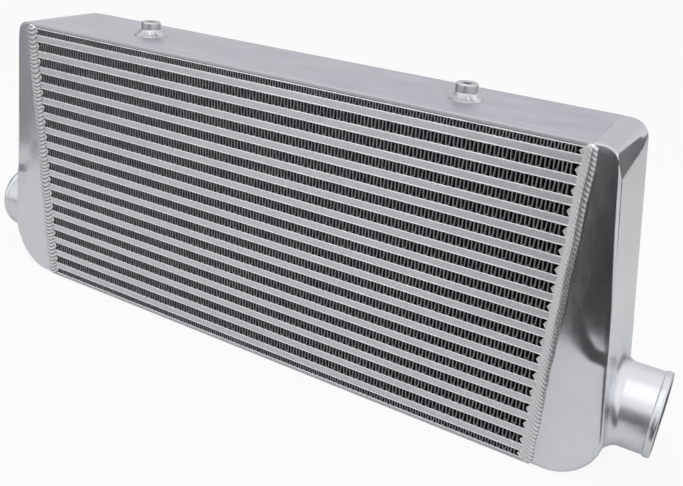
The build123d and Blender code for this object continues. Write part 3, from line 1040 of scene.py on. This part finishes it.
def turned_finish():
    """Turned on a lathe: fine rings, read along the axis and along the radius of either boss.
    Painted shade makes the threaded hole near black.
    """
    material, tree, _, at = start_metal("turned boss")
    away = figure(tree, "SUBTRACT", figure(tree, "ABSOLUTE", at["X"]), boss_x * MM)
    radius = distance(tree, away, at["Y"])
    along = figure(tree, "ADD", radius, at["Z"])
    ring_place = node(tree, "ShaderNodeCombineXYZ", [("X", along)]).outputs[0]
    rings = marks(tree, streaks, ring_place, (0.35, 1.0, 1.0))
    colour = tone(tree, rings, (0.42, 0.42, 0.45), (0.62, 0.62, 0.64))
    colour = tone(tree, band(tree, radius, hole_shade_band), colour, (0.09, 0.09, 0.10))
    return finish_metal(material, colour, between(tree, rings, 0.26, 0.38), [(rings, 0.08, 0.5)])


# %% Every slot gets its finish
finishes = {"tank_cast": cast_finish(), "plate_satin": plate_finish(), "bar_satin": bar_finish(),
            "sheet_edge": edge_finish(), "fin_dark": strip_finish(), "weld_bead": weld_finish(),
            "boss_turned": turned_finish()}
kept_solids = {"turbulators": "fin_dark"}
dressed = list(made.values()) + [(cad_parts[name], slot) for name, slot in kept_solids.items()]
for piece, slot in dressed:
    piece.data.materials.clear()
    piece.data.materials.append(finishes[slot])
print("dressed:", len(made), "fine pieces and", len(kept_solids), "node of solids")

# %% [markdown]
# ## Studio
# The cooler stands on a pale floor in a white room. Metal shows what surrounds it, so the room
# matters as much as the lamps. Two soft boxes above and beside it light what is matt. Cards that
# only the reflections see do the rest: two bright ones stand for the boxes, and grey ones keep
# the polished faces from melting into white.

# %% Background
room_strength, seen_strength = 0.5, 1.0
world = bpy.data.worlds.new("white room")
bpy.context.scene.world = world
world.use_nodes = True
tree = world.node_tree
ray = node(tree, "ShaderNodeLightPath").outputs
seen = figure(tree, "MAXIMUM", ray["Is Camera Ray"], ray["Is Glossy Ray"])
seen = figure(tree, "MAXIMUM", seen, ray["Is Transmission Ray"])
background = tree.nodes["Background"]
link(tree, between(tree, seen, room_strength, seen_strength), background.inputs["Strength"])
background.inputs["Color"].default_value = (1, 1, 1, 1)


# %% Floor and cards
floor_reach, floor_z = 6000.0, -0.4
floor_grey, floor_glow = 0.90, 0.90


def stage_sheet(name, corners, material):
    """Flat sheet of the stage through its corners in millimetres."""
    mesh = bpy.data.meshes.new(name)
    mesh.from_pydata([Vector(corner) * MM for corner in corners], [], [tuple(range(len(corners)))])
    sheet = bpy.data.objects.new(name, mesh)
    bpy.context.collection.objects.link(sheet)
    mesh.materials.append(material)
    return sheet


def floor_paint():
    """Pale matt floor. Seen directly it gets a white glow, so only the object's shadow shows."""
    material = bpy.data.materials.new("pale floor")
    material.use_nodes = True
    tree = material.node_tree
    matt = tree.nodes["Principled BSDF"]
    matt.inputs["Base Color"].default_value = (floor_grey, floor_grey, floor_grey, 1)
    matt.inputs["Roughness"].default_value = 0.9
    glow = node(tree, "ShaderNodeEmission", [("Color", (1, 1, 1, 1)), ("Strength", 1.0)])
    camera_ray = node(tree, "ShaderNodeLightPath").outputs["Is Camera Ray"]
    share = figure(tree, "MULTIPLY", camera_ray, floor_glow)
    mixed = node(tree, "ShaderNodeMixShader", [(0, share), (1, matt.outputs[0]), (2, glow.outputs[0])])
    link(tree, mixed.outputs[0], tree.nodes["Material Output"].inputs["Surface"])
    return material


def card_paint(name, grey):
    """Plain card that gives off an even grey, a touch bluish, for reflections only."""
    material = bpy.data.materials.new(name)
    material.use_nodes = True
    tree = material.node_tree
    glow = node(tree, "ShaderNodeEmission", [("Color", (grey, grey, grey * 1.03, 1)), ("Strength", 1.0)])
    link(tree, glow.outputs[0], tree.nodes["Material Output"].inputs["Surface"])
    return material


def level_card(z, *places):
    """Corners of a level card from its height and its places (x, y)."""
    return [(x, y, z) for x, y in places]


def card_across_y(y, left, right, low, high):
    """Corners of an upright card that faces along Y."""
    return [(left, y, low), (right, y, low), (right, y, high), (left, y, high)]


def card_across_x(x, front, rear, low, high):
    """Corners of an upright card that faces along X."""
    return [(x, front, low), (x, rear, low), (x, rear, high), (x, front, high)]


cards = [
    ("dark card before the right tank", 0.05,
     level_card(6, (-230, -1600), (620, -1600), (600, -282), (345, -290), (300, -302), (262, -317),
                (215, -334))),
    ("dark strip beside the right tank", 0.05,
     level_card(6, (372, -262), (560, -262), (560, -110), (392, -110))),
    ("grey card behind the camera", 0.12, card_across_y(-1620, 0, 640, 5, 620)),
    ("pale card round it", 0.45, card_across_y(-1640, -120, 760, 5, 760)),
    ("grey card before the left tank", 0.30,
     level_card(6, (-2200, -1600), (-760, -1600), (-700, -340), (-2200, -340))),
    ("dark card behind the right tank", 0.12, card_across_y(1500, 700, 1700, 5, 225)),
    ("low dark card behind the neck", 0.05, card_across_y(560, 640, 1500, 5, 150)),
    ("low dark card before the neck", 0.05, card_across_x(600, -600, -60, 5, 110)),
    ("dark card at the left", 0.08, card_across_x(-2600, -900, 1500, 5, 1500)),
    ("grey card behind the plate", 0.78, card_across_y(3200, -6000, 3500, 5, 2100)),
    ("bright card above", 1.42,
     level_card(1900, (-1350, -1600), (950, -1600), (950, 200), (-1350, 200))),
    ("bright card at the right", 1.15, card_across_x(1700, -1150, 150, 300, 1600))]

floor_corners = level_card(floor_z, (-floor_reach, -floor_reach), (floor_reach, -floor_reach),
                           (floor_reach, floor_reach), (-floor_reach, floor_reach))
stage_sheet("floor", floor_corners, floor_paint())
for name, grey, corners in cards:
    card = stage_sheet(name, corners, card_paint(name, grey))
    card.visible_camera = card.visible_diffuse = card.visible_shadow = False
print("cards:", len(cards))


# %% Lamps
def soft_box(name, place, aim, width, height, watts):
    """Rectangular area lamp at a place, turned to the aim; millimetres and watts. The polish
    mirrors a bright card instead, because a mirrored lamp adds to the white sky behind it."""
    lamp = bpy.data.lights.new(name, "AREA")
    lamp.shape, lamp.size, lamp.size_y, lamp.energy = "RECTANGLE", width * MM, height * MM, watts
    box = bpy.data.objects.new(name, lamp)
    bpy.context.collection.objects.link(box)
    box.location = Vector(place) * MM
    box.rotation_euler = (Vector(aim) - Vector(place)).to_track_quat("-Z", "Y").to_euler()
    box.visible_glossy = False


soft_box("large box above", (-200, -700, 1900), (0, 0, 150), 2300, 1800, 13.5)
soft_box("box at the right", (1700, -500, 950), (200, 0, 150), 1300, 1300, 5)

# %% Camera: a little above the cooler and before its right half, turned to the left
camera_place = Vector((420.607, -648.280, 472.014)) * MM
camera_turn = Euler([math.radians(angle) for angle in (65.25412, -4.04706, 30.33320)])
focal_length = 41.96
lens = bpy.data.cameras.new("camera")
lens.sensor_width, lens.lens = 36.0, focal_length
camera = bpy.data.objects.new("camera", lens)
bpy.context.collection.objects.link(camera)
camera.matrix_world = Matrix.LocRotScale(camera_place, camera_turn, None)
bpy.context.scene.camera = camera
bpy.context.scene.view_settings.view_transform = "Standard"
